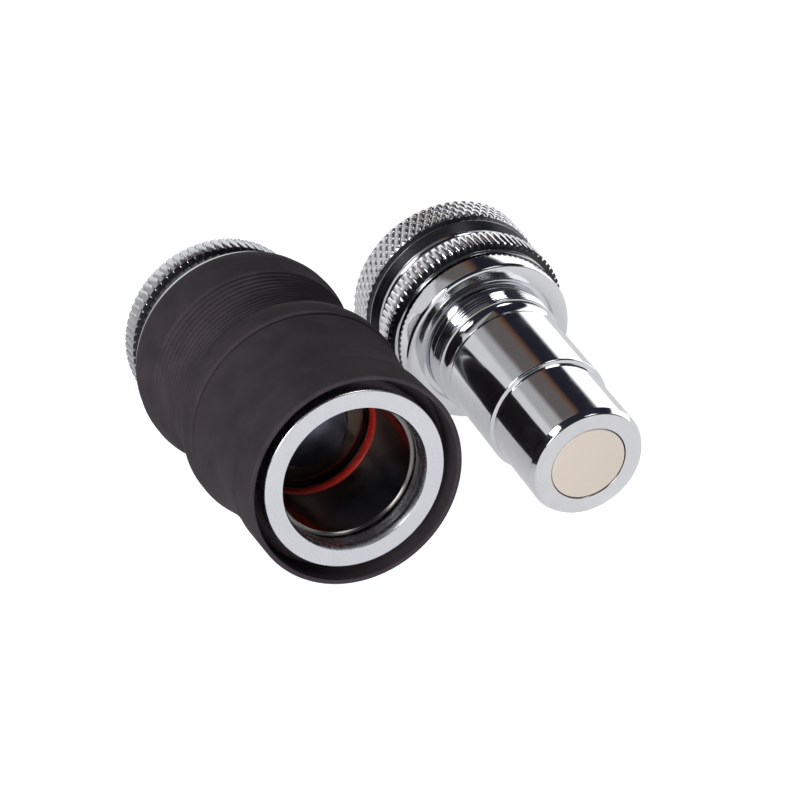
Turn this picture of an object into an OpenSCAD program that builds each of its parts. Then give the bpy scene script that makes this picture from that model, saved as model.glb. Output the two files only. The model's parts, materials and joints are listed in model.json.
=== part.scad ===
// Screw-lock quick disconnect coupler for soft hose: a socket with a turning locking
// sleeve, and a plug. Each half is shut off by its own flat-faced spring valve.
// Lengths are in millimetres. The socket lies along Y with its mouth facing -Y, and
// the origin is on its axis where the mating bore begins. Inside the modules z is the
// distance behind the socket's lip face, or behind the plug's nose face.

/* [Mating fit] */
// Radius of the socket's mating bore
bore_r = 6.85; // [6.82:0.01:6.88]
// Radial gap between the plug's rear cylinder and the bore
nose_gap = 0.1; // [0.05:0.01:0.1]
// How far behind the lip the mating bore begins
bore_start = 3.4; // [3.3:0.05:3.5]
// Radial gap of the sliding and turning fits
run_gap = 0.05; // [0.03:0.01:0.08]

/* [Locking sleeve] */
// Outer radius of the lip
lip_r = 11.02; // [11:0.01:11.1]
// Radius at the sleeve's waist
sleeve_waist_r = 10.84; // [10.8:0.01:10.9]
// Radius of the sleeve's long concave sweeps
sweep_r = 29.8; // [29:0.1:31]
// Where the sleeve ends, behind the lip
sleeve_len = 14.4; // [14.3:0.05:14.5]
// Outer radius of the chrome lock ring
lock_ring_r = 9.35; // [9.3:0.01:9.4]
// Inner radius of the lock ring's thread crests
lock_thread_r = 7.3; // [7.28:0.01:7.35]

/* [Socket body] */
// Radius of the body's front rim
rim_r = 11.78; // [11.75:0.01:11.8]
// Radius of the body's rear ridge
ridge_r = 11.68; // [11.65:0.01:11.7]
// Radius at the body's waist
body_waist_r = 11.03; // [11:0.01:11.06]
// Where the body ends, behind the lip
body_end = 32; // [31.9:0.1:32.2]
// Number of grip grooves round the body's waist
grip_grooves = 11; // [8:1:11]
// Pitch of the grip grooves
grip_pitch = 0.83; // [0.7:0.01:0.85]

/* [Plug] */
// Radius of the plug's front cylinder
nose_r = 6.3; // [6.25:0.01:6.35]
// Length of the front cylinder
nose_step = 9.4; // [9.2:0.1:9.6]
// Where the rear cylinder ends
nose_end = 19.2; // [19.1:0.1:19.4]
// Radius of the threaded collar
collar_r = 7.15; // [7.1:0.01:7.2]
// Where the flange's front face is
flange_face = 24; // [23.9:0.1:24.1]
// Radius of the polished flange
flange_r = 9.55; // [9.5:0.01:9.6]
// How far the plug lies to the socket's side at rest
plug_x = 27; // [26:0.5:30]
// How far the plug's nose lies behind the socket's lip at rest
plug_back = 4.1; // [3:0.1:6]

/* [Valves] */
// Radius of the flat faces that meet when the halves join
valve_face_r = 4.1; // [4.05:0.01:4.12]
// Where the socket's fixed stem face is, behind the lip
stem_face = 12.2; // [12.1:0.1:12.3]
// Where the socket valve's front face is, behind the lip
valve_face = 13.3; // [13.25:0.05:13.35]

/* [Hose ends] */
// Radius of the hose tails, for 10 mm bore hose
tail_r = 5; // [4.9:0.05:5.1]
// Radius of the hole that the hose enters
hose_hole_r = 6.7; // [6.6:0.05:6.8]
// Radius of the threaded necks
neck_r = 8.7; // [8.6:0.05:8.7]
// Number of straight ribs round the plug's connector
plug_ribs = 80; // [60:4:96]
// Number of straight ribs round the socket's hose nut
socket_ribs = 72; // [60:4:96]

/* [Hidden] */

$fn = 96;
cut = 1;                               // how far a cutter runs past what it cuts

black = [0.13, 0.125, 0.13];
chrome = [0.82, 0.83, 0.85];
dark_steel = [0.45, 0.44, 0.45];
silicone = [0.55, 0.1, 0.07];
champagne = [0.9, 0.86, 0.81];

// socket stations, behind the lip
recess_depth = 3.6;
ring_face = 0.47;
ring_end = 9.9;
thread_end = 2.7;
barrel_front = 3;
barrel_shoulder = 10.2;
barrel_nose_r = 8;
barrel_r = 9.6;
clip_z = 6.4;
clip_wire_r = 0.38;
bore_seal_z = 12.45;
bore_seal_wire_r = 0.75;
bore_seal_in_r = bore_r - 0.3;
chamber_start = 15.5;
chamber_r = 7.4;
spigot_start = 27.8;
spigot_r = 8.8;
spider_front = 31;
spider_back = 32.5;
valve_end = 17.3;
flow_r = 3.9;
sleeve_waist_z = 8;
body_front = 14.78;
body_waist_z = 23.3;

// plug stations, behind the nose face
rear_r = bore_r - nose_gap;
plug_bore_r = 5.6;
seat_r = valve_face_r + 0.08;
valve_r = 4.85;
seal_land_r = valve_r + 0.15;
valve_back = 4.2;
rod_r = 1.6;
guide_front = 22;
guide_back = 23.4;
guide_r = 6;
flange_back = 26.9;
boss_r = 8.15;
boss_end = 29.6;
knurl_front = 27.2;
knurl_back = 30;
knurl_r = 10.37;

// rest pose: the plug lies nose down beside the socket, on its nose and its knurled ring
nose_chamfer = 0.7;
knurl_crest = knurl_front + 0.55;
plug_tilt = atan((knurl_r - nose_r) / (knurl_crest - nose_chamfer));
nose_rest_z = nose_r * cos(plug_tilt) - nose_chamfer * sin(plug_tilt);

// the arc of a long sweep: radius at z, for a waist of radius r at station mid
function sweep(r, mid, z) = r + sweep_r - sqrt(pow(sweep_r, 2) - pow(z - mid, 2));
// points along a sweep from one station to another
function sweep_points(r, mid, from, to, steps = 14) =
    [for (i = [0 : steps]) let (z = from + (to - from) * i / steps) [sweep(r, mid, z), z]];
// how far from its waist a sweep reaches a larger radius
function sweep_reach(r, wide) = sqrt(pow(sweep_r, 2) - pow(sweep_r - (wide - r), 2));

// outline of a ribbed ring: ribs with narrow flat crests and sloping sides
function rib_points(n, crest, root) = [
    for (i = [0 : n - 1], k = [0 : 3])
        let (a = (i + [-0.13, 0.13, 0.42, 0.58][k]) * 360 / n, r = k < 2 ? crest : root)
            [r * cos(a), r * sin(a)]
];

module on_socket_axis() {
    translate([0, -bore_start, 0]) rotate([-90, 0, 0]) children();
}

module on_plug_axis() {
    translate([plug_x, plug_back - bore_start, nose_rest_z - rim_r])
        rotate([plug_tilt - 90, 0, 0]) children();
}

module turned(points) {
    rotate_extrude() polygon(points);
}

module tube(r_out, r_in, from, to) {
    turned([[r_in, from], [r_out, from], [r_out, to], [r_in, to]]);
}

module o_ring(r_mid, wire_r, z) {
    translate([0, 0, z]) rotate_extrude() translate([r_mid, 0]) circle(r = wire_r, $fn = 24);
}

// a sprung wire ring with a gap
module split_ring(r_mid, wire_r, z, gap_deg) {
    translate([0, 0, z]) rotate_extrude(angle = 360 - gap_deg)
        translate([r_mid, 0]) circle(r = wire_r, $fn = 24);
}

// a turned blank whose rim is cut into straight ribs
module ribbed(points, count, crest, root) {
    last = max([for (p = points) p[1]]);
    intersection() {
        turned(points);
        linear_extrude(height = last + cut)
            polygon(rib_points(count, crest + 0.02, root));
    }
}

// coil spring: a round wire swept along a helix between two flat seats
module coil(r_mid, wire_r, from, to, turns) {
    sides = 8;
    per_turn = 20;
    count = turns * per_turn;
    length = to - from - 2 * wire_r;
    points = [
        for (i = [0 : count], k = [0 : sides - 1])
            let (
                a = i * 360 / per_turn,
                b = k * 360 / sides,
                r = r_mid + wire_r * cos(b),
                z = from + wire_r + length * i / count + wire_r * sin(b)
            )
            [r * cos(a), r * sin(a), z]
    ];
    sides_faces = [
        for (i = [0 : count - 1], k = [0 : sides - 1])
            let (next = (k + 1) % sides)
            [i * sides + k, (i + 1) * sides + k, (i + 1) * sides + next, i * sides + next]
    ];
    first_cap = [for (k = [0 : sides - 1]) k];
    last_cap = [for (k = [0 : sides - 1]) count * sides + sides - 1 - k];
    polyhedron(points, concat([first_cap, last_cap], sides_faces), convexity = 10);
}

module lock_sleeve() {
    straight_end = sleeve_waist_z - sweep_reach(sleeve_waist_r, lip_r);
    clear_r = barrel_r + 0.15;
    color(black) on_socket_axis() turned(concat(
        [[lip_r - 0.5, 0.05], [lip_r - 0.45, 0], [lip_r - 0.08, 0], [lip_r, 0.15]],
        sweep_points(sleeve_waist_r, sleeve_waist_z, straight_end, sleeve_len - 0.1),
        [
            [sweep(sleeve_waist_r, sleeve_waist_z, sleeve_len) - 0.15, sleeve_len],
            [clear_r, sleeve_len], [clear_r, ring_end], [lock_ring_r, ring_end],
            [lock_ring_r, recess_depth], [lip_r - 0.5, recess_depth]
        ]
    ));
}

module lock_ring() {
    groove_count = 3;
    groove_pitch = 0.45;
    first_groove = 0.8;
    turning_r = barrel_nose_r + run_gap;
    color(chrome) on_socket_axis() difference() {
        turned([
            [lock_thread_r + 0.2, ring_face], [lock_ring_r - 0.1, ring_face],
            [lock_ring_r, ring_face + 0.1], [lock_ring_r, ring_end],
            [turning_r, ring_end], [turning_r, thread_end],
            [lock_thread_r, thread_end], [lock_thread_r, ring_face + 0.45]
        ]);
        for (i = [0 : groove_count - 1])
            let (z = ring_face + first_groove + i * groove_pitch)
                tube(lock_thread_r + 0.15, lock_thread_r - cut, z, z + 0.2);
        tube(barrel_nose_r + 0.5, lock_thread_r,
            clip_z - clip_wire_r - 0.15, clip_z + clip_wire_r + 0.15);
    }
}

module collar_retaining_ring() {
    color(dark_steel) on_socket_axis()
        split_ring(barrel_nose_r - 0.05, clip_wire_r, clip_z, 30);
}

module socket_body() {
    front_z = body_waist_z - sweep_reach(body_waist_r, rim_r);
    rear_z = body_waist_z + sweep_reach(body_waist_r, ridge_r);
    first_groove = body_waist_z - 0.86 - grip_pitch * (grip_grooves - 1) / 2;
    groove_depth = 0.2;
    groove_w = 0.42;
    color(black) on_socket_axis() difference() {
        turned(concat(
            [
                [barrel_r, body_front], [rim_r - 0.35, body_front],
                [rim_r - 0.14, body_front + 0.15], [rim_r, body_front + 0.8]
            ],
            sweep_points(body_waist_r, body_waist_z, front_z, rear_z, 20),
            [[ridge_r, 30.6], [ridge_r - 0.25, body_end], [barrel_r, body_end]]
        ));
        for (i = [0 : grip_grooves - 1])
            let (z = first_groove + i * grip_pitch, r = sweep(body_waist_r, body_waist_z, z))
                turned([
                    [r - groove_depth, z - 0.08], [r + cut, z - groove_w / 2 - 0.8],
                    [r + cut, z + groove_w / 2 + 0.8], [r - groove_depth, z + 0.08]
                ]);
    }
}

module socket_barrel() {
    color(chrome) on_socket_axis() difference() {
        turned([
            [bore_r, bore_start], [bore_r + 0.4, barrel_front],
            [barrel_nose_r - 0.15, barrel_front], [barrel_nose_r, barrel_front + 0.15],
            [barrel_nose_r, barrel_shoulder], [barrel_r, barrel_shoulder],
            [barrel_r, body_end], [spigot_r, body_end], [spigot_r, spigot_start],
            [chamber_r, spigot_start], [chamber_r, chamber_start], [bore_r, chamber_start]
        ]);
        tube(barrel_nose_r + cut, barrel_nose_r - 0.48,
            clip_z - clip_wire_r - 0.05, clip_z + clip_wire_r + 0.05);
        tube(bore_seal_in_r + 2 * bore_seal_wire_r, bore_r - cut,
            bore_seal_z - bore_seal_wire_r, bore_seal_z + bore_seal_wire_r);
    }
}

module bore_seal() {
    color(silicone) on_socket_axis()
        o_ring(bore_seal_in_r + bore_seal_wire_r, bore_seal_wire_r, bore_seal_z);
}

module socket_stem() {
    head_back = 15.4;
    stem_r = 2;
    color(dark_steel) on_socket_axis() difference() {
        turned([
            [0, stem_face], [valve_face_r - 0.15, stem_face],
            [valve_face_r, stem_face + 0.15], [valve_face_r, 13.55], [3.2, 13.55],
            [3.2, 14.55], [valve_face_r, 14.55], [valve_face_r, head_back],
            [stem_r, head_back + 2], [stem_r, spider_front],
            [chamber_r - 0.05, spider_front], [chamber_r - 0.05, spider_back],
            [0, spider_back]
        ]);
        for (i = [0 : 5])
            rotate([0, 0, i * 60]) translate([4.3, 0, spider_front - cut])
                cylinder(r = 1.4, h = spider_back - spider_front + 2 * cut, $fn = 32);
    }
}

module stem_seal() {
    color(silicone) on_socket_axis() o_ring(3.66, 0.45, 14.05);
}

module socket_valve() {
    outer_r = bore_r - run_gap;
    inner_r = valve_face_r + run_gap;
    color(dark_steel) on_socket_axis() turned([
        [inner_r, valve_face], [outer_r - 0.5, valve_face], [outer_r, valve_face + 0.3],
        [outer_r, 14.1], [outer_r - 0.86, 14.1], [outer_r - 0.86, 15], [outer_r, 15],
        [outer_r, chamber_start + 0.05], [chamber_r - run_gap, chamber_start + 0.05],
        [chamber_r - run_gap, valve_end], [5.9, valve_end], [inner_r, 15.6]
    ]);
}

module socket_valve_seal() {
    color(silicone) on_socket_axis() o_ring(bore_r - run_gap - 0.43, 0.43, 14.55);
}

module socket_spring() {
    color(dark_steel) on_socket_axis() coil(6.6, 0.27, valve_end, spider_front, 5);
}

module socket_hose_stem() {
    flange_end = 32.8;
    thread_stop = 36.2;
    tail_end = 40.2;
    color(chrome) on_socket_axis() turned([
        [chamber_r, spigot_start], [spigot_r, spigot_start], [spigot_r, 28.6],
        [spigot_r - 0.86, 28.6], [spigot_r - 0.86, 29.5], [spigot_r, 29.5],
        [spigot_r, body_end], [11.1, body_end], [11.2, body_end + 0.1],
        [11.2, flange_end - 0.1], [11.1, flange_end], [neck_r, flange_end],
        [neck_r, thread_stop - 0.3], [neck_r - 0.3, thread_stop], [tail_r, thread_stop],
        [tail_r, tail_end - 0.3], [tail_r - 0.3, tail_end], [flow_r, tail_end],
        [flow_r, spider_back], [chamber_r, spider_back]
    ]);
}

module socket_port_seal() {
    color(silicone) on_socket_axis() o_ring(spigot_r - 0.43, 0.43, 29.05);
}

module socket_hose_nut() {
    nut_front = 33.1;
    rib_front = 36.2;
    rib_back = 39.2;
    nut_back = 40.4;
    band_r = 9.95;
    rib_r = 10.25;
    root_r = 9.9;
    core_r = root_r - 0.2;
    color(chrome) on_socket_axis() difference() {
        union() {
            turned([
                [0, nut_front], [band_r - 0.4, nut_front], [band_r, nut_front + 0.4],
                [band_r, rib_front - 0.15], [core_r, rib_front - 0.05],
                [core_r, rib_back - 0.5], [0, rib_back - 0.5]
            ]);
            ribbed([
                [0, rib_front], [core_r - 0.1, rib_front], [rib_r, rib_front + 0.4],
                [rib_r, rib_back - 0.35], [root_r - 0.1, rib_back], [core_r, nut_back - 0.5],
                [core_r - 0.35, nut_back], [0, nut_back]
            ], socket_ribs, rib_r, root_r);
        }
        turned([
            [0, nut_front - cut], [neck_r + run_gap, nut_front - cut],
            [neck_r + run_gap, 36.6], [hose_hole_r, 38], [hose_hole_r, nut_back + cut],
            [0, nut_back + cut]
        ]);
    }
}

module plug_body() {
    fillet_steps = 6;
    neck_in_r = rear_r - 0.35;
    fillet_rise = collar_r - 0.1 - neck_in_r;
    fillet_from = nose_end + 0.6;
    fillet_run = 1.3;
    thread_grooves = 4;
    thread_pitch = 0.4;
    color(chrome) on_plug_axis() difference() {
        turned(concat(
            [
                [seat_r, 0], [nose_r - 0.4, 0], [nose_r - 0.35, 0.05], [nose_r, nose_chamfer],
                [nose_r, nose_step - 0.55], [rear_r - 0.08, nose_step - 0.15],
                [rear_r, nose_step], [rear_r, nose_end - 0.15],
                [rear_r - 0.12, nose_end], [neck_in_r, nose_end + 0.05]
            ],
            [
                for (i = [0 : fillet_steps])
                    let (a = 90 * i / fillet_steps)
                    [neck_in_r + fillet_rise * (1 - cos(a)), fillet_from + fillet_run * sin(a)]
            ],
            [
                [collar_r, fillet_from + fillet_run + 0.05], [collar_r, flange_face],
                [flange_r - 0.4, flange_face], [flange_r - 0.12, flange_face + 0.12],
                [flange_r, flange_face + 0.4], [flange_r, flange_back - 0.4],
                [flange_r - 0.25, flange_back], [boss_r, flange_back],
                [boss_r, boss_end], [guide_r, boss_end], [guide_r, guide_front],
                [plug_bore_r, guide_front], [plug_bore_r, 5.6], [seal_land_r, 5],
                [seal_land_r, 2.12], [seat_r, 1.3]
            ]
        ));
        for (i = [0 : thread_grooves - 1])
            let (z = fillet_from + fillet_run + 0.25 + i * thread_pitch)
                turned([
                    [collar_r - 0.2, z - 0.03], [collar_r + 0.2, z - 0.25],
                    [collar_r + 0.2, z + 0.25], [collar_r - 0.2, z + 0.03]
                ]);
        tube(collar_r + 0.6, collar_r, flange_face - cut, flange_face + 0.8);
        tube(guide_r + 0.35, guide_r - cut, guide_back + 0.1, guide_back + 0.75);
    }
}

module plug_valve() {
    groove_front = 2.6;
    groove_back = 3.6;
    color(chrome) on_plug_axis() turned([
        [1.2, 0.9], [valve_face_r - 0.02, 0.9], [valve_face_r - 0.02, 1.33],
        [valve_r, 2.15], [valve_r, groove_front], [valve_r - 0.8, groove_front],
        [valve_r - 0.8, groove_back], [valve_r, groove_back], [valve_r, valve_back],
        [rod_r, valve_back], [rod_r, 25], [0, 25], [0, 2.4], [1.2, 2.4]
    ]);
}

module plug_valve_face() {
    color(champagne) on_plug_axis() turned([
        [0, 0], [valve_face_r - 0.1, 0], [valve_face_r - 0.02, 0.08],
        [valve_face_r - 0.02, 0.9], [1.2, 0.9], [1.2, 2.4], [0, 2.4]
    ]);
}

module plug_valve_seal() {
    color(silicone) on_plug_axis() o_ring(valve_r - 0.37, 0.43, 3.1);
}

module plug_spring() {
    color(dark_steel) on_plug_axis() coil(2.6, 0.25, valve_back, guide_front, 7);
}

module plug_valve_guide() {
    color(dark_steel) on_plug_axis() difference() {
        tube(guide_r - 0.02, rod_r + run_gap, guide_front, guide_back);
        for (i = [0 : 5])
            rotate([0, 0, i * 60]) translate([4.2, 0, guide_front - cut])
                cylinder(r = 1.1, h = guide_back - guide_front + 2 * cut, $fn = 32);
    }
}

module guide_snap_ring() {
    color(dark_steel) on_plug_axis() split_ring(guide_r, 0.3, guide_back + 0.42, 40);
}

module plug_hose_stem() {
    thread_stop = 34.2;
    tail_end = 38;
    web = boss_end + 0.2;
    root_r = knurl_r - 0.37;
    color(chrome) on_plug_axis() difference() {
        union() {
            ribbed([
                [0, knurl_front], [root_r - 0.4, knurl_front],
                [knurl_r, knurl_crest], [knurl_r, knurl_back - 0.35],
                [root_r - 0.1, knurl_back], [0, knurl_back]
            ], plug_ribs, knurl_r, root_r);
            turned([
                [0, knurl_front], [knurl_r - 0.9, knurl_front],
                [knurl_r - 0.7, knurl_back], [knurl_r - 0.7, 30.6],
                [knurl_r - 0.9, 30.8], [neck_r, 30.8], [neck_r, thread_stop - 0.3],
                [neck_r - 0.3, thread_stop], [tail_r, thread_stop],
                [tail_r, tail_end - 0.3], [tail_r - 0.3, tail_end], [0, tail_end]
            ]);
        }
        turned([
            [0, knurl_front - cut], [boss_r, knurl_front - cut], [boss_r, web],
            [7.8, web], [7.8, web + 0.76], [6.6, web + 0.76], [6.6, web],
            [flow_r, web], [flow_r, tail_end + cut], [0, tail_end + cut]
        ]);
    }
}

module plug_port_seal() {
    color(silicone) on_plug_axis() o_ring(7.2, 0.48, boss_end + 0.48);
}

module plug_hose_nut() {
    nut_front = 31.2;
    band_back = 32.8;
    grip_front = 33.5;
    grip_back = 36.75;
    nut_back = 37.5;
    band_r = 10.1;
    grip_r = 10.5;
    color(chrome) on_plug_axis() turned([
        [neck_r + run_gap, nut_front], [band_r - 0.8, nut_front],
        [band_r - 0.6, nut_front + 0.2], [band_r, band_back], [band_r, band_back + 0.2],
        [grip_r, grip_front], [grip_r, grip_back - 0.2], [band_r, grip_back + 0.25],
        [band_r - 0.6, nut_back], [hose_hole_r, nut_back], [hose_hole_r, 36],
        [neck_r + run_gap, 34.6]
    ]);
}

lock_sleeve();
lock_ring();
collar_retaining_ring();
socket_body();
socket_barrel();
bore_seal();
socket_stem();
stem_seal();
socket_valve();
socket_valve_seal();
socket_spring();
socket_hose_stem();
socket_port_seal();
socket_hose_nut();
plug_body();
plug_valve();
plug_valve_face();
plug_valve_seal();
plug_spring();
plug_valve_guide();
guide_snap_ring();
plug_hose_stem();
plug_port_seal();
plug_hose_nut();
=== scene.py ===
"""Looks for a screw-lock quick disconnect coupler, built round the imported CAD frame.

The socket lies along +Y with its mouth facing -Y, and the plug lies beside it. Every
turned piece is drawn as an outline of (radius, station) points in millimetres. A station
is the distance behind the socket's lip, or behind the plug's nose face.
"""

import json
import math

import bmesh
import bpy
from mathutils import Matrix, Vector


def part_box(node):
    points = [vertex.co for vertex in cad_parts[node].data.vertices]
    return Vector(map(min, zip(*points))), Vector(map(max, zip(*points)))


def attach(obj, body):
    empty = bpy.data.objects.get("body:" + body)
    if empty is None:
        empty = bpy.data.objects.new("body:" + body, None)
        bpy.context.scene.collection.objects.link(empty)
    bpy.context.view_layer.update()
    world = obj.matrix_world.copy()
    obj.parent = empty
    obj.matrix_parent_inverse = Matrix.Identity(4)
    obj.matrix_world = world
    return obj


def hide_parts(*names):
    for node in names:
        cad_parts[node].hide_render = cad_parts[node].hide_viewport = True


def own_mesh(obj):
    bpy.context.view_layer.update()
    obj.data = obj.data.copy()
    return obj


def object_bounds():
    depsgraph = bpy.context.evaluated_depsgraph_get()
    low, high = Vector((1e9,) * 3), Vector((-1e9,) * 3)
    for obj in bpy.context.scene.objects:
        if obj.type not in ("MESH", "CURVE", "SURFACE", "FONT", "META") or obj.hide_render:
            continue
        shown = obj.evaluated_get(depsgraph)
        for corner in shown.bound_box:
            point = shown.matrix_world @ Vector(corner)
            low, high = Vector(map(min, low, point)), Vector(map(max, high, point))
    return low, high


MM = 0.001
TURN = 2 * math.pi
PLAIN_COLUMNS = 256                   # points round a turned piece with no ribs or knurl

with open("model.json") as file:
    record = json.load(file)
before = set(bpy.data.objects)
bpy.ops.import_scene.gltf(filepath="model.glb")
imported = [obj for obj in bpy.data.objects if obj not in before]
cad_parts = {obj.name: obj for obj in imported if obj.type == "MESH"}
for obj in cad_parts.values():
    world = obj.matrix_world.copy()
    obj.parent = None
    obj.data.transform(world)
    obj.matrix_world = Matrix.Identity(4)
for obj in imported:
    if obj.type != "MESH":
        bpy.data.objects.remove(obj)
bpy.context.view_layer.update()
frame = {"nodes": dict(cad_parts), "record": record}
mounts = {m["name"]: m for m in frame["record"]["mounts"]}


# ---------------------------------------------------------------- places in the frame

def axis_frame(start, direction):
    """Matrix whose z axis runs along a turning axis, from its start."""
    z = Vector(direction).normalized()
    x = Vector((1, 0, 0))
    y = z.cross(x).normalized()
    matrix = Matrix((x, y, z)).transposed().to_4x4()
    matrix.translation = Vector(start)
    return matrix


NOSE_STEP = 9.4                       # length of the plug's front cylinder
lip_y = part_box("lock_sleeve")[0].y
SOCKET = axis_frame((0, lip_y, 0), (0, 1, 0))

nose_mount = mounts["plug_nose"]
nose_out = Vector(nose_mount["axis"])
to_nose = NOSE_STEP + nose_mount["dims"]["length_mm"] / 2
PLUG = axis_frame(Vector(nose_mount["pos_m"]) + nose_out * to_nose * MM, -nose_out)
floor_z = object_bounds()[0][2]


# ---------------------------------------------------------------- turned meshes

ON_AXIS = 1e-6                        # a smaller radius, in mm, is a point on the axis
STRAIGHT = math.radians(165)          # a blunter corner is left as it is


def soften(points, radius=0.06, arc=3):
    """Rounds the corners of an outline, taken as closed, so that its edges catch the light."""
    out = []
    count = len(points)
    for i, here in enumerate(points):
        before, after = points[i - 1], points[(i + 1) % count]
        if here[0] < ON_AXIS:
            out.append(here)
            continue
        p = Vector(here)
        a, b = Vector(before) - p, Vector(after) - p
        if a.length < ON_AXIS or b.length < ON_AXIS or a.angle(b) > STRAIGHT:
            out.append(here)
            continue
        start = p + a.normalized() * min(radius, a.length * 0.4)
        end = p + b.normalized() * min(radius, b.length * 0.4)
        for k in range(arc + 1):
            t = k / arc
            q = start * (1 - t) ** 2 + p * 2 * t * (1 - t) + end * t ** 2
            out.append((q.x, q.y))
    return out


def even_angles(count):
    return [TURN * i / count for i in range(count)]


def turned(name, rows, place, angles=None, split=None, flat=None, finish=None):
    """A closed solid turned about an axis.

    A row is (radius, station), or a function of the angle that gives it. split(row,
    column) is 0 or 1 where a face is cut along that diagonal, and None where it stays
    whole. flat(row) tells which strips keep hard facets, and finish(row) gives the number
    of a strip's finish.
    """
    angles = angles or even_angles(PLAIN_COLUMNS)
    across, down = len(angles), len(rows)
    verts = []
    for row in rows:
        for a in angles:
            r, z = row(a) if callable(row) else row
            verts.append((r * math.cos(a) * MM, r * math.sin(a) * MM, z * MM))
    on_axis = [not callable(row) and row[0] < ON_AXIS for row in rows]
    faces, hard, finishes = [], [], []
    for j in range(down):
        nxt = (j + 1) % down
        if on_axis[j] and on_axis[nxt]:
            continue
        for i in range(across):
            right = (i + 1) % across
            a, b = j * across + i, j * across + right
            c, d = nxt * across + right, nxt * across + i
            if on_axis[j]:
                new = [(a, c, d)]
            elif on_axis[nxt]:
                new = [(a, b, c)]
            else:
                cut = split(j, i) if split else None
                new = {None: [(a, b, c, d)],
                       0: [(a, b, c), (a, c, d)],
                       1: [(a, b, d), (b, c, d)]}[cut]
            faces += new
            hard += [bool(flat and flat(j))] * len(new)
            finishes += [finish(j) if finish else 0] * len(new)
    piece = add_mesh(name, verts, faces, place, [not h for h in hard], finishes)
    weighted = piece.modifiers.new("flat faces stay flat", "WEIGHTED_NORMAL")
    weighted.weight = 80               # large faces decide the shading of the corners
    return piece


def add_mesh(name, verts, faces, place, smooth, finishes):
    mesh = bpy.data.meshes.new(name)
    mesh.from_pydata(verts, [], faces)
    mesh.transform(place)
    mesh.polygons.foreach_set("use_smooth", smooth)
    mesh.polygons.foreach_set("material_index", finishes)
    mesh.update()
    piece = bpy.data.objects.new(name, mesh)
    bpy.context.scene.collection.objects.link(piece)
    tidy_mesh(piece)
    return piece


def tidy_mesh(piece):
    """Welds the points on the axis and turns every face outwards."""
    bm = bmesh.new()
    bm.from_mesh(piece.data)
    bmesh.ops.remove_doubles(bm, verts=bm.verts, dist=1e-7)
    bmesh.ops.recalc_face_normals(bm, faces=bm.faces)
    bm.to_mesh(piece.data)
    bm.free()


def ring_torus(name, r_mid, wire_r, z, place):
    rows = [(r_mid + wire_r * math.cos(t), z + wire_r * math.sin(t)) for t in even_angles(32)]
    return turned(name, rows, place)


def coil(name, r_mid, wire_r, start, end, turns, place):
    """A round wire wound into a compression spring between two seats."""
    per_turn, sides = 48, 12
    count = turns * per_turn
    length = end - start - 2 * wire_r
    verts, faces = [], []
    for i in range(count + 1):
        a = TURN * i / per_turn
        z_mid = start + wire_r + length * i / count
        for k in range(sides):
            b = TURN * k / sides
            r = r_mid + wire_r * math.cos(b)
            z = z_mid + wire_r * math.sin(b)
            verts.append((r * math.cos(a) * MM, r * math.sin(a) * MM, z * MM))
    for i in range(count):
        for k in range(sides):
            n = (k + 1) % sides
            faces.append((i * sides + k, (i + 1) * sides + k,
                          (i + 1) * sides + n, i * sides + n))
    faces.append(tuple(range(sides)))
    faces.append(tuple(count * sides + sides - 1 - k for k in range(sides)))
    smooth = [True] * (len(faces) - 2) + [False] * 2
    return add_mesh(name, verts, faces, place, smooth, [0] * len(faces))


# ---------------------------------------------------------------- knurls and threads

def rib_angles(count, land, floor):
    """Angles at the corners of straight ribs; land and floor are half widths in pitches."""
    corners = (-land, land, 0.5 - floor, 0.5 + floor)
    return [(i + f) * TURN / count for i in range(count) for f in corners]


LAND_REACH = 0.35                     # corners nearer a rib's middle, in pitches, are crests


def rib_radius(count, crest, root):
    """Radius of straight ribs with wide flat lands, as a function of the angle."""
    def radius(a):
        part = (a * count / TURN + 0.5) % 1 - 0.5
        return crest if abs(part) < LAND_REACH else root
    return radius


def rib_rows(count, crest, root, front, back, slope_front, slope_back):
    """Rows of a ribbed ring whose ends are chamfered cones that the grooves run out in."""
    radius = rib_radius(count, crest, root)

    def front_row(a):
        r = radius(a)
        return r, front + (r - root) * slope_front

    def back_row(a):
        r = radius(a)
        return r, back - (r - root) * slope_back
    return [front_row, back_row]


class Diamonds:
    """A diamond knurl: flat-topped pyramids between two families of crossing grooves.

    around counts the diamonds round the piece and along is one diamond's length, and top
    is the share of the full height at which the points are cut flat.
    """
    SUB = 4                            # steps from a groove crossing to a peak

    def __init__(self, around, along, root, depth, start, steps, top):
        self.around, self.along = around, along
        self.root, self.depth, self.top = root, depth, top
        self.start, self.steps = start, steps
        self.step = along / (2 * self.SUB)

    def waves(self, u, v):
        """Height above each family of grooves, from 0 to 1; u and v count diamonds."""
        return [1 - abs(2 * (w % 1) - 1) for w in (u + v, u - v)]

    def height(self, a, z):
        tri = self.waves(a * self.around / TURN, (z - self.start) / self.along)
        return min(tri + [self.top]) / self.top

    def angles(self):
        return even_angles(self.around * 2 * self.SUB)

    def rows(self, limit):
        """One row at each step; limit(z) is the largest radius that the blank has there."""
        def row(j):
            z = self.start + j * self.step
            return lambda a: (min(self.root + self.depth * self.height(a, z), limit(z)), z)
        return [row(j) for j in range(self.steps + 1)]

    def split(self, j, i):
        """Which diagonal of a small square follows the grooves."""
        u = (i + 0.5) / (2 * self.SUB)
        v = (j + 0.5) / (2 * self.SUB)
        up, down = self.waves(u, v)
        return 1 if up < down else 0


def thread_rows(crest, depth, pitch, start, turns, per_turn=12):
    """Rows of a helical V thread that fades out at both ends."""
    def row(z):
        def at(a):
            along = (z - start) / pitch
            phase = (along - a / TURN) % 1
            fade = max(0, min(1, along * 2, (turns - along) * 2))
            return crest - depth * fade * (1 - abs(2 * phase - 1)), z
        return at
    return [row(start + pitch * k / per_turn) for k in range(turns * per_turn + 1)]


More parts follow.
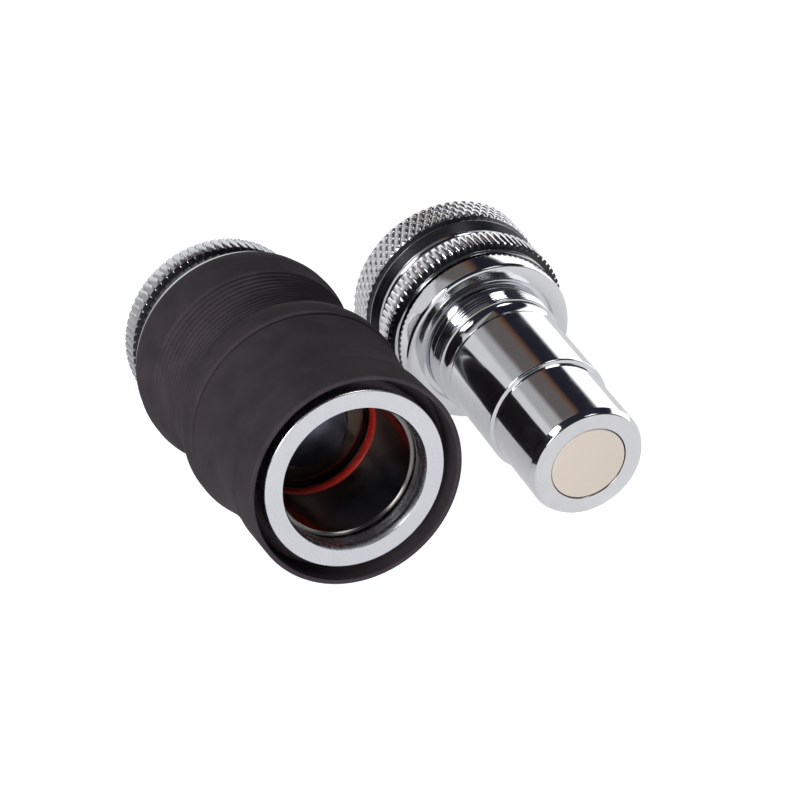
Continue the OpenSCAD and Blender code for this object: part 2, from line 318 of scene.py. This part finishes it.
# ---------------------------------------------------------------- materials

class Shader:
    """Small helper that adds nodes to one material."""

    def __init__(self, name, place):
        self.material = bpy.data.materials.new(name)
        self.material.use_nodes = True
        self.tree = self.material.node_tree
        self.bsdf = self.tree.nodes["Principled BSDF"]
        self.place = place

    def node(self, kind, **inputs):
        node = self.tree.nodes.new(kind)
        for key, value in inputs.items():
            if key in node.inputs:
                node.inputs[key].default_value = value
            else:
                setattr(node, key, value)
        return node

    def link(self, a, b):
        self.tree.links.new(a, b)

    def local(self):
        """Millimetres in the turning axis's own frame."""
        coords = self.node("ShaderNodeTexCoord")
        inverse = self.place.inverted()
        mapping = self.node("ShaderNodeMapping")
        mapping.inputs["Scale"].default_value = (1 / MM,) * 3
        mapping.inputs["Rotation"].default_value = inverse.to_euler("XYZ")
        mapping.inputs["Location"].default_value = inverse.translation / MM
        self.link(coords.outputs["Object"], mapping.inputs["Vector"])
        return mapping.outputs["Vector"]

    def profile(self, local, stretch=0.02):
        """(radius, station, a little of x), so that a texture runs round the piece."""
        parts = self.node("ShaderNodeSeparateXYZ")
        self.link(local, parts.inputs[0])
        plane = self.node("ShaderNodeCombineXYZ")
        self.link(parts.outputs[0], plane.inputs[0])
        self.link(parts.outputs[1], plane.inputs[1])
        radius = self.node("ShaderNodeVectorMath", operation="LENGTH")
        self.link(plane.outputs[0], radius.inputs[0])
        drift = self.node("ShaderNodeMath", operation="MULTIPLY")
        drift.inputs[1].default_value = stretch
        self.link(parts.outputs[0], drift.inputs[0])
        out = self.node("ShaderNodeCombineXYZ")
        self.link(radius.outputs["Value"], out.inputs[0])
        self.link(parts.outputs[2], out.inputs[1])
        self.link(drift.outputs[0], out.inputs[2])
        return out.outputs[0]

    def noise(self, vector, scale, detail=2.0, roughness=0.5):
        noise = self.node("ShaderNodeTexNoise", Scale=scale, Detail=detail, Roughness=roughness)
        self.link(vector, noise.inputs["Vector"])
        return noise.outputs["Fac"]

    def spread(self, value, low, high, start=0.3, end=0.7):
        """Maps a noise value onto a range."""
        ranged = self.node("ShaderNodeMapRange")
        limits = {"From Min": start, "From Max": end, "To Min": low, "To Max": high}
        for key, number in limits.items():
            ranged.inputs[key].default_value = number
        self.link(value, ranged.inputs["Value"])
        return ranged.outputs["Result"]

    def colours(self, value, low, high):
        """Base colour between two tones, by a noise value."""
        ramp = self.node("ShaderNodeValToRGB")
        stops = ((0.3, low), (0.7, high))
        for element, (position, colour) in zip(ramp.color_ramp.elements, stops):
            element.position = position
            element.color = (*colour, 1)
        self.link(value, ramp.inputs[0])
        self.link(ramp.outputs["Color"], self.bsdf.inputs["Base Color"])

    def bump(self, layers):
        """Stacks bumps; a layer is (height, distance in mm, strength)."""
        normal = None
        for height, distance, strength in layers:
            bump = self.node("ShaderNodeBump", Strength=strength, Distance=distance * MM)
            self.link(height, bump.inputs["Height"])
            if normal is not None:
                self.link(normal, bump.inputs["Normal"])
            normal = bump.outputs["Normal"]
        self.link(normal, self.bsdf.inputs["Normal"])

    def rough(self, value):
        self.link(value, self.bsdf.inputs["Roughness"])

    def set(self, **inputs):
        """Sets the surface's inputs; an underscore stands for a space."""
        for key, value in inputs.items():
            self.bsdf.inputs[key.replace("_", " ")].default_value = value


def black_anodised(place):
    """Satin charcoal anodised aluminium: blasted grain over fine turning lines."""
    s = Shader("black_anodised_" + side(place), place)
    local = s.local()
    rings = s.noise(s.profile(local), 9.0, 3.0, 0.6)
    grain = s.noise(local, 26.0, 2.0)
    cloud = s.noise(local, 0.35, 3.0)
    s.colours(cloud, (0.0235, 0.0196, 0.0226), (0.0320, 0.0268, 0.0305))
    s.rough(s.spread(grain, 0.50, 0.62))
    s.bump([(rings, 0.006, 0.5), (grain, 0.006, 0.6)])
    s.set(Specular_IOR_Level=0.02)
    return s.material


def chrome(place, name, tint, roughness, lines):
    """Chrome plate over turned brass: faint turning lines and patches of handling haze."""
    s = Shader(name + "_" + side(place), place)
    local = s.local()
    rings = s.noise(s.profile(local, 0.01), 12.0, 4.0, 0.6)
    haze = s.noise(local, 0.5, 4.0, 0.6)
    low = tuple(c * 0.94 for c in tint)
    s.colours(haze, low, tint)
    s.rough(s.spread(haze, roughness, roughness + 0.06))
    s.bump([(rings, 0.003, lines)])
    s.set(Metallic=1.0)
    return s.material


def black_band_and_painted_shade(place):
    """The smooth satin black band in front of each nut's knurl, also put on the plug nut's knurl
    chamfer and on the front face of the plug's ribs. On the socket nut's band, that chamfer and
    the ribs' front face the black is painted shade, standing in for chrome that shows dark there.
    """
    s = Shader("black_band_and_painted_shade_" + side(place), place)
    local = s.local()
    rings = s.noise(s.profile(local, 0.01), 10.0, 3.0, 0.6)
    s.colours(s.noise(local, 0.6, 3.0), (0.006, 0.006, 0.008), (0.011, 0.011, 0.013))
    s.rough(s.spread(rings, 0.24, 0.34))
    s.bump([(rings, 0.003, 0.3)])
    s.set(Specular_IOR_Level=0.35)
    return s.material


def silicone(place):
    """Deep red silicone with a soft gloss and a moulded grain."""
    s = Shader("red_silicone_" + side(place), place)
    local = s.local()
    grain = s.noise(local, 14.0, 3.0)
    s.colours(s.noise(local, 1.2, 2.0), (0.10, 0.004, 0.003), (0.15, 0.007, 0.004))
    s.rough(s.spread(grain, 0.28, 0.42))
    s.bump([(grain, 0.01, 0.3)])
    return s.material


def rubber(place):
    """Matt black seal rubber."""
    s = Shader("black_rubber_" + side(place), place)
    local = s.local()
    grain = s.noise(local, 18.0, 3.0)
    s.colours(s.noise(local, 1.2, 2.0), (0.012, 0.012, 0.013), (0.022, 0.022, 0.024))
    s.rough(s.spread(grain, 0.45, 0.6))
    s.bump([(grain, 0.01, 0.3)])
    return s.material


def champagne(place):
    """The matte pale champagne disc: fine speckle of bead-blasted plating."""
    s = Shader("champagne_face_" + side(place), place)
    local = s.local()
    speckle = s.noise(local, 9.0, 4.0, 0.65)
    s.colours(speckle, (0.40, 0.348, 0.308), (0.445, 0.398, 0.357))
    s.rough(s.spread(speckle, 0.55, 0.7))
    s.bump([(s.noise(local, 16.0, 3.0), 0.01, 0.35)])
    s.set(Metallic=0.2)
    return s.material


def wire(place):
    """Drawn spring wire, with faint streaks."""
    s = Shader("spring_steel_" + side(place), place)
    local = s.local()
    streaks = s.noise(local, 10.0, 3.0)
    s.colours(s.noise(local, 1.0, 2.0), (0.5, 0.5, 0.51), (0.62, 0.62, 0.63))
    s.rough(s.spread(streaks, 0.2, 0.32))
    s.bump([(streaks, 0.004, 0.3)])
    s.set(Metallic=1.0)
    return s.material


def side(place):
    return "socket" if place is SOCKET else "plug"


# tint, lowest roughness and strength of the turning lines of each plated finish
PLATED = {
    "chrome": ((0.87, 0.88, 0.91), 0.06, 0.25),
    "knurled_chrome": ((0.76, 0.765, 0.78), 0.20, 0.2),
    "ribbed_chrome": ((0.86, 0.865, 0.88), 0.16, 0.2),
    "ring_chrome": ((0.88, 0.89, 0.94), 0.24, 0.3),
    # a dark copy of the chrome for the bore: painted shade of the recess
    "bore_chrome_painted_shade": ((0.27, 0.255, 0.245), 0.2, 0.15),
    # a darker copy of the chrome: painted shade that dims the socket hose connector's rim and the
    # socket nut's ribs
    "nut_chrome_painted_shade": ((0.46, 0.465, 0.475), 0.14, 0.2),
    "dark_polished": ((0.20, 0.15, 0.13), 0.14, 0.3),
    # dark bluish polish for the socket stem deep in the bore: painted shade and painted
    # reflection of the dark studio
    "stem_polished_painted_shade": ((0.13, 0.13, 0.16), 0.16, 0.3),
}
OTHER_FINISHES = {
    "black_anodised": black_anodised, "black_band_and_painted_shade": black_band_and_painted_shade, "red_silicone": silicone,
    "black_rubber": rubber, "champagne_face": champagne, "spring_steel": wire,
}
made = {}                              # materials so far, by finish and half


def material(kind, place):
    """The finish for one half, whose texture runs round that half's axis."""
    key = (kind, side(place))
    if key not in made:
        made[key] = (chrome(place, kind, *PLATED[kind]) if kind in PLATED
                     else OTHER_FINISHES[kind](place))
    return made[key]


def fit(piece, body, node, kind, place, more=()):
    """Gives a detailed piece its finish and its body, and hides the CAD node that it stands for.
    """
    for each in (kind, *more):
        piece.data.materials.append(material(each, place))
    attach(piece, body)
    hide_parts(node)


# ---------------------------------------------------------------- socket half

SWEEP_R = 29.8                         # radius of the sleeve's long concave sweeps


def sweep(waist_r, waist_z, start, end, steps=24):
    """Points along a long concave arc."""
    out = []
    for i in range(steps + 1):
        z = start + (end - start) * i / steps
        out.append((waist_r + SWEEP_R - math.sqrt(SWEEP_R ** 2 - (z - waist_z) ** 2), z))
    return out


def reach(waist_r, wide_r):
    """How far from its waist a sweep widens to a radius."""
    return math.sqrt(SWEEP_R ** 2 - (SWEEP_R - (wide_r - waist_r)) ** 2)


def lock_sleeve():
    lip_r, waist_r, waist_z, length = 11.02, 10.84, 8.0, 14.4
    straight_end = waist_z - reach(waist_r, lip_r)
    outline = [(lip_r - 0.5, 0.06), (lip_r - 0.42, 0), (lip_r - 0.1, 0), (lip_r, 0.14)]
    outline += sweep(waist_r, waist_z, straight_end, length - 0.1)
    outline += [(11.38, length), (9.75, length), (9.75, 9.9), (9.35, 9.9), (9.35, 3.6),
                (lip_r - 0.5, 3.6)]
    piece = turned("locking_sleeve", soften(outline, 0.07), SOCKET)
    fit(piece, "lock_collar", "lock_sleeve", "black_anodised", SOCKET)


def lock_ring():
    crest_r, outer_r, face = 7.3, 9.35, 0.47
    outline = [(crest_r, face + 0.5), (crest_r + 0.2, face), (outer_r - 0.12, face),
               (outer_r, face + 0.12), (outer_r, 9.9), (8.05, 9.9), (8.05, 6.93), (8.5, 6.93),
               (8.5, 5.87), (8.05, 5.87), (8.05, 2.7), (crest_r, 2.7)]
    outline = soften(outline, 0.05)
    # an outside thread mirrored about its crest radius, so that it faces inwards
    thread = thread_rows(crest_r, 0.08, 0.4, face + 0.8, 3)
    inner = [lambda a, row=row: (2 * crest_r - row(a)[0], row(a)[1]) for row in reversed(thread)]
    piece = turned("lock_ring_threaded", outline + inner, SOCKET)
    fit(piece, "lock_collar", "lock_ring", "ring_chrome", SOCKET)


def socket_body():
    waist_r, waist_z, rim_r, ridge_r, front = 11.03, 23.3, 11.78, 11.68, 14.78
    grooves, pitch, depth, sharpness = 11, 0.83, 0.26, 0.8
    middle = waist_z - 0.86            # middle of the grip grooves
    first = middle - pitch * (grooves - 1) / 2
    start, end = waist_z - reach(waist_r, rim_r), waist_z + reach(waist_r, ridge_r)
    wave_start, wave_end = first - pitch / 2, first + pitch * (grooves - 0.5)
    arc = sweep(waist_r, waist_z, start, end, 240)

    def grip(point):
        r, z = point
        if wave_start < z < wave_end:
            wave = 0.5 - 0.5 * math.cos(TURN * (z - wave_start) / pitch)
            r -= depth * wave ** sharpness
        return r, z
    outline = [(9.6, front), (rim_r - 0.35, front), (rim_r - 0.14, 14.93), (rim_r, 15.58)]
    outline += [grip(p) for p in arc]
    outline += [(ridge_r, 30.6), (ridge_r - 0.25, 32), (9.6, 32)]
    piece = turned("rear_grip_body", soften(outline, 0.06), SOCKET)
    fit(piece, "socket", "socket_body", "black_anodised", SOCKET)


def socket_barrel():
    bore_r = 6.85
    outline = [(bore_r, 3.18), (bore_r + 0.18, 3), (7.85, 3), (8, 3.15), (8, 5.97), (7.52, 5.97),
               (7.52, 6.83), (8, 6.83), (8, 10.2), (9.6, 10.2), (9.6, 32), (8.8, 32), (8.8, 27.8),
               (7.4, 27.8), (7.4, 15.5), (bore_r, 15.5), (bore_r, 13.2), (8.05, 13.2),
               (8.05, 11.7), (bore_r, 11.7)]
    piece = turned("barrel_with_bore", soften(outline, 0.05), SOCKET)
    # The bore's chrome is painted dark: painted shade of the recess.
    fit(piece, "socket", "socket_barrel", "bore_chrome_painted_shade", SOCKET)


def bore_seal():
    piece = ring_torus("bore_o_ring", 7.3, 0.75, 12.45, SOCKET)
    fit(piece, "socket", "bore_seal", "red_silicone", SOCKET)


def socket_valve():
    inner, outer, face = 4.15, 6.8, 13.3
    bead_r, bead_z, steps = 0.14, 13.44, 8
    bead = [(inner + bead_r - bead_r * math.cos(a), bead_z - bead_r * math.sin(a))
            for a in (math.pi * k / steps for k in range(steps + 1))]
    outline = [(inner + 0.42, face), (outer - 0.5, face), (outer, 13.6), (outer, 14.1),
               (5.94, 14.1), (5.94, 15), (outer, 15), (outer, 15.55), (7.35, 15.55),
               (7.35, 17.3), (5.9, 17.3), (inner, 15.6)]
    rows = bead + soften(outline, 0.05)
    piece = turned("socket_valve_sleeve", rows, SOCKET, finish=lambda j: int(j < len(bead) - 1))
    fit(piece, "socket_valve", "socket_valve", "dark_polished", SOCKET, more=("chrome",))


def socket_spring():
    start, end, travel = 17.3, 31.0, 10.25
    piece = coil("socket_return_spring", 6.6, 0.27, start, end, 5, SOCKET)
    fit(piece, "socket", "socket_spring", "spring_steel", SOCKET)
    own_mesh(piece)


def socket_hose_stem():
    outline = [(7.4, 27.8), (8.8, 27.8), (8.8, 28.6), (7.94, 28.6), (7.94, 29.5), (8.8, 29.5),
               (8.8, 32), (11.08, 32), (11.2, 32.12), (11.2, 32.68), (11.08, 32.8), (8.7, 32.8),
               (8.7, 35.9), (8.4, 36.2), (5, 36.2), (5, 39.9), (4.7, 40.2), (3.9, 40.2),
               (3.9, 32.5), (7.4, 32.5)]
    piece = turned("socket_hose_connector", soften(outline, 0.05), SOCKET)
    # The connector's chrome is the darker copy: painted shade that dims its rim's reflection.
    fit(piece, "socket", "socket_hose_stem", "nut_chrome_painted_shade", SOCKET)


def socket_hose_nut():
    count, crest, root = 72, 10.25, 10.03
    rows = soften([(8.75, 33.1), (9.55, 33.1), (9.95, 33.5), (9.95, 34.2)], 0.08)
    band = len(rows)
    rows += [(9.9, 34.25), (9.9, 35.95), (9.75, 36.1)]
    start = len(rows)
    rows += rib_rows(count, crest, root, 36.3, 39.0, 0.4, 0.3)
    rows += soften([(9.9, 39.25), (9.72, 39.9), (9.35, 40.4), (6.7, 40.4), (6.7, 38),
                    (8.75, 36.6)], 0.12)
    # The ribs take the darker nut chrome, which is painted shade, and the band in front of them
    # takes the satin black, which is painted shade and painted reflection of the dark studio on
    # chrome.
    piece = turned("socket_hose_nut_ribbed", rows, SOCKET, rib_angles(count, 0.31, 0.07),
                   flat=lambda j: j == start,
                   finish=lambda j: 1 if j == start else 2 if band <= j < start else 0)
    fit(piece, "socket_hose_nut", "socket_hose_nut", "chrome", SOCKET,
        more=("nut_chrome_painted_shade", "black_band_and_painted_shade"))


# ---------------------------------------------------------------- plug half

def plug_body():
    nose_r, rear_r, seat_r, collar_r, flange_r = 6.3, 6.75, 4.18, 7.15, 9.55
    neck_r, fillet_z, fillet_run = rear_r - 0.35, 19.8, 1.3
    front = [(seat_r, 0.06), (seat_r + 0.06, 0), (nose_r - 0.42, 0), (nose_r - 0.3, 0.08),
             (nose_r, 0.7), (nose_r, 9.22), (rear_r - 0.08, 9.3), (rear_r, NOSE_STEP),
             (rear_r, 19.05), (rear_r - 0.12, 19.2), (neck_r, 19.25)]
    steps = 14
    rise = collar_r - 0.1 - neck_r
    fillet = []
    for i in range(steps + 1):
        a = math.pi / 2 * i / steps
        fillet.append((neck_r + rise * (1 - math.cos(a)), fillet_z + fillet_run * math.sin(a)))
    thread = thread_rows(collar_r, 0.16, 0.42, fillet_z + fillet_run + 0.12, 4)
    back = [(collar_r, 24.8), (collar_r + 0.6, 24.8), (collar_r + 0.6, 24),
            (flange_r - 0.4, 24), (flange_r - 0.12, 24.1), (flange_r, 24.35), (flange_r, 26.45),
            (flange_r - 0.25, 26.9), (8.15, 26.9), (8.15, 29.6), (6, 29.6), (6, 22),
            (5.6, 22), (5.6, 5.6), (5, 5), (5, 2.12), (seat_r, 1.3)]
    rows = soften(front, 0.05) + fillet + thread + soften(back, 0.06)
    piece = turned("plug_nose_and_flange", rows, PLUG, even_angles(320))
    fit(piece, "plug", "plug_body", "chrome", PLUG)


def plug_valve_face():
    outline = [(0, 0), (4.0, 0), (4.08, 0.08), (4.08, 0.9), (1.2, 0.9), (1.2, 2.4), (0, 2.4)]
    piece = turned("plug_face_disc", soften(outline, 0.03), PLUG)
    fit(piece, "plug_valve", "plug_valve_face", "champagne_face", PLUG)


def plug_spring():
    start, end, travel = 4.2, 22.0, 11.35
    piece = coil("plug_return_spring", 2.6, 0.25, start, end, 7, PLUG)
    fit(piece, "plug", "plug_spring", "spring_steel", PLUG)
    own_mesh(piece)


def plug_hose_stem():
    count, crest, root = 80, 10.37, 10.07
    rows = soften([(8.15, 27.2), (9.3, 27.2), (9.6, 27.35)], 0.05)
    start = len(rows)
    rows += rib_rows(count, crest, root, 27.5, 29.9, 0.35, 0.4)
    tail = [(9.85, 30.05), (9.7, 30.2), (9.7, 30.6), (9.45, 30.8), (8.7, 30.8), (8.7, 33.9),
            (8.4, 34.2), (5, 34.2), (5, 37.7), (4.7, 38), (3.9, 38), (3.9, 29.8), (6.6, 29.8),
            (6.6, 30.56), (7.8, 30.56), (7.8, 29.8), (8.15, 29.8)]
    rows += soften(tail, 0.05)
    # The strip that is the ribs' front face takes the satin black: painted shade of the gap
    # behind the flange.
    piece = turned("plug_ribbed_connector", rows, PLUG, rib_angles(count, 0.26, 0.1),
                   flat=lambda j: j == start,
                   finish=lambda j: 1 if j == start else 2 if j == start - 1 else 0)
    fit(piece, "plug", "plug_hose_stem", "chrome", PLUG, more=("ribbed_chrome", "black_band_and_painted_shade"))


def plug_hose_nut():
    knurl = Diamonds(around=66, along=1.65, root=10.3, depth=0.2, start=33.45, steps=16,
                     top=0.4)
    knurl_end = knurl.start + knurl.steps * knurl.step
    front_slope, rear_slope = 1.2, 1.0    # of the chamfers that the knurl runs out in

    def limit(z):
        return min(knurl.root + (z - knurl.start) * front_slope,
                   knurl.root + (knurl_end - z) * rear_slope)
    rows = soften([(8.75, 31.2), (9.3, 31.2), (9.5, 31.4), (9.5, 31.7)], 0.06)
    band = len(rows)
    rows += [(9.52, 31.75), (10.08, 32.72)]
    edge = len(rows)
    rows += [(10.11, 32.76), (10.12, 32.8), (10.1, 32.85)]
    chamfer = len(rows)
    rows += [(10.04, 32.9)]
    first = len(rows)
    rows += knurl.rows(limit)
    last = len(rows) - 1
    rows += soften([(10.12, knurl_end + 0.25), (9.9, knurl_end + 0.62), (9.5, 37.5), (6.7, 37.5),
                    (6.7, 36), (8.75, 34.6)], 0.12)

    def split(j, i):
        return knurl.split(j - first, i) if first <= j < last else None

    # The knurl's front chamfer takes the satin black as painted shade on a forward-facing chrome
    # face; the cone band in front of the edge is satin black too.
    def finish(j):
        if first <= j < last:
            return 1
        return 2 if band <= j < edge or chamfer <= j < first else 0
    piece = turned("plug_hose_nut_knurled", rows, PLUG, knurl.angles(), split,
                   flat=lambda j: first <= j < last, finish=finish)
    fit(piece, "plug_hose_nut", "plug_hose_nut", "chrome", PLUG,
        more=("knurled_chrome", "black_band_and_painted_shade"))


def inner_nodes():
    """CAD pieces whose shape is right as it is, given their finish; the socket stem's dark bluish
    one is painted shade and painted reflection.
    """
    finishes = {
        "collar_retaining_ring": ("spring_steel", SOCKET),
        "socket_stem": ("stem_polished_painted_shade", SOCKET),
        "stem_seal": ("black_rubber", SOCKET),
        "socket_valve_seal": ("black_rubber", SOCKET),
        "socket_port_seal": ("black_rubber", SOCKET),
        "plug_valve": ("chrome", PLUG),
        "plug_valve_seal": ("black_rubber", PLUG),
        "plug_valve_guide": ("dark_polished", PLUG),
        "guide_snap_ring": ("spring_steel", PLUG),
        "plug_port_seal": ("black_rubber", PLUG),
    }
    for name, (kind, place) in finishes.items():
        node = frame["nodes"][name]
        for index in range(len(node.data.materials)):
            node.data.materials[index] = material(kind, place)


# ---------------------------------------------------------------- studio

def aim(obj, place, target):
    """Puts a light or camera at a place, facing a target."""
    obj.location = place
    obj.rotation_euler = (Vector(target) - Vector(place)).to_track_quat("-Z", "Y").to_euler()


def camera():
    """The photograph's viewing angle."""
    azimuth, elevation, roll = map(math.radians, (23.46, 25.8, 0.29))
    target = Vector((10.7, 11.0, 0.2)) * MM
    distance = 285 * MM
    back = Vector((-math.sin(azimuth) * math.cos(elevation),
                   -math.cos(azimuth) * math.cos(elevation), math.sin(elevation)))
    data = bpy.data.cameras.new("camera")
    data.sensor_width = 36
    data.lens = 126.9
    data.clip_start = 0.005
    cam = bpy.data.objects.new("camera", data)
    bpy.context.scene.collection.objects.link(cam)
    aim(cam, target + back * distance, target)
    cam.rotation_euler.rotate_axis("Z", -roll)
    bpy.context.scene.camera = cam


def floor():
    """A plain light table: near white to the camera, and dimmer in reflections."""
    half = 3.0
    glow, more_to_camera = 0.40, 0.50
    mesh = bpy.data.meshes.new("floor")
    mesh.from_pydata([(-half, -half, floor_z), (half, -half, floor_z), (half, half, floor_z),
                      (-half, half, floor_z)], [], [(0, 1, 2, 3)])
    ground = bpy.data.objects.new("floor", mesh)
    bpy.context.scene.collection.objects.link(ground)
    s = Shader("floor_paper", Matrix.Identity(4))
    paper = s.noise(s.local(), 0.4, 3.0)
    s.colours(paper, (0.42, 0.42, 0.425), (0.45, 0.45, 0.455))
    s.set(Roughness=0.9, Emission_Color=(1, 1, 1, 1))
    seen = s.node("ShaderNodeLightPath")
    lit = s.node("ShaderNodeMath", operation="MULTIPLY_ADD")
    lit.inputs[1].default_value = more_to_camera
    lit.inputs[2].default_value = glow
    s.link(seen.outputs["Is Camera Ray"], lit.inputs[0])
    s.link(lit.outputs[0], s.bsdf.inputs["Emission Strength"])
    mesh.materials.append(s.material)


def softbox(name, place, target, width, height, watts):
    data = bpy.data.lights.new(name, "AREA")
    data.shape = "RECTANGLE"
    data.size, data.size_y = width, height
    data.energy = watts
    light = bpy.data.objects.new(name, data)
    bpy.context.scene.collection.objects.link(light)
    aim(light, place, target)
    return light


def bearing(degrees):
    """Position on a colour ramp of a compass bearing from +Y towards +X."""
    return (degrees + 180) / 360


# how bright the studio looks low down and overhead, by compass bearing in degrees
LOW = [(-180, (0.03,) * 3), (-95, (0.05,) * 3), (-62, (0.66,) * 3), (-26, (0.66,) * 3),
       (-20, (1.3,) * 3), (100, (1.3,) * 3), (118, (0.05,) * 3), (180, (0.03,) * 3)]
OVERHEAD = [(-180, (0.02, 0.02, 0.03)), (-62, (0.02, 0.02, 0.03)), (-44, (0.40,) * 3),
            (-28, (0.40,) * 3), (-22, (0.12, 0.106, 0.10)), (0, (0.12, 0.106, 0.10)),
            (6, (0.14, 0.082, 0.056)), (10, (0.105, 0.056, 0.036)), (16, (0.015, 0.015, 0.024)),
            (180, (0.02, 0.02, 0.03))]
OVERHEAD_FROM, OVERHEAD_FULL = 0.53, 0.58    # sine of the elevation where one gives way
COLOUR_A, COLOUR_B, COLOUR_OUT = 6, 7, 2     # a Mix node's colour sockets


def studio():
    """Soft lights, and a surround that the chrome reflects but the camera sees as white."""
    centre = Vector((13, 17, 0)) * MM
    softbox("top_right_box", centre + Vector((0.24, -0.30, 0.55)), centre, 0.20, 0.20, 0.4)
    softbox("left_box", centre + Vector((-0.46, -0.10, 0.46)), centre, 0.20, 0.20, 0.7)
    softbox("front_left_box", centre + Vector((-0.52, -0.42, 0.28)), centre, 0.34, 0.30, 1.2)
    key = softbox("soft_key", centre + Vector((-0.40, -0.70, 0.13)), centre, 0.5, 0.2, 11.0)
    key.visible_glossy = False         # it fills the matt black parts and stays out of the chrome
    world = bpy.data.worlds.new("studio")
    bpy.context.scene.world = world
    world.use_nodes = True
    nodes, links = world.node_tree.nodes, world.node_tree.links
    background = nodes["Background"]
    coords = nodes.new("ShaderNodeTexCoord")
    parts = nodes.new("ShaderNodeSeparateXYZ")
    links.new(coords.outputs["Generated"], parts.inputs[0])
    angle = nodes.new("ShaderNodeMath")
    angle.operation = "ARCTAN2"
    links.new(parts.outputs["X"], angle.inputs[0])
    links.new(parts.outputs["Y"], angle.inputs[1])
    around = nodes.new("ShaderNodeMapRange")
    around.inputs["From Min"].default_value = -math.pi
    around.inputs["From Max"].default_value = math.pi
    links.new(angle.outputs[0], around.inputs["Value"])
    both = nodes.new("ShaderNodeMix")
    both.data_type = "RGBA"
    for stops, socket in ((LOW, COLOUR_A), (OVERHEAD, COLOUR_B)):
        ramp = nodes.new("ShaderNodeValToRGB")
        set_ramp(ramp, stops)
        links.new(around.outputs["Result"], ramp.inputs[0])
        links.new(ramp.outputs["Color"], both.inputs[socket])
    height = nodes.new("ShaderNodeMapRange")
    height.inputs["From Min"].default_value = OVERHEAD_FROM
    height.inputs["From Max"].default_value = OVERHEAD_FULL
    links.new(parts.outputs["Z"], height.inputs["Value"])
    links.new(height.outputs["Result"], both.inputs["Factor"])
    links.new(both.outputs[COLOUR_OUT], background.inputs["Color"])
    seen = nodes.new("ShaderNodeLightPath")
    plain = nodes.new("ShaderNodeBackground")
    plain.inputs["Color"].default_value = (1, 1, 1, 1)
    either = nodes.new("ShaderNodeMixShader")
    links.new(seen.outputs["Is Camera Ray"], either.inputs[0])
    links.new(background.outputs[0], either.inputs[1])
    links.new(plain.outputs[0], either.inputs[2])
    links.new(either.outputs[0], nodes["World Output"].inputs["Surface"])
    bpy.context.scene.view_settings.view_transform = "Standard"


def set_ramp(node, stops):
    """Colours of a ramp's stops, by bearing."""
    elements = node.color_ramp.elements
    for element, (degrees, colour) in zip((elements[0], elements[1]), (stops[0], stops[-1])):
        element.position = bearing(degrees)
        element.color = (*colour, 1)
    for degrees, colour in stops[1:-1]:
        elements.new(bearing(degrees)).color = (*colour, 1)


camera()
for make in (lock_sleeve, lock_ring, socket_body, socket_barrel, bore_seal, socket_valve,
             socket_spring, socket_hose_stem, socket_hose_nut, plug_body, plug_valve_face,
             plug_spring, plug_hose_stem, plug_hose_nut, inner_nodes, floor, studio):
    make()
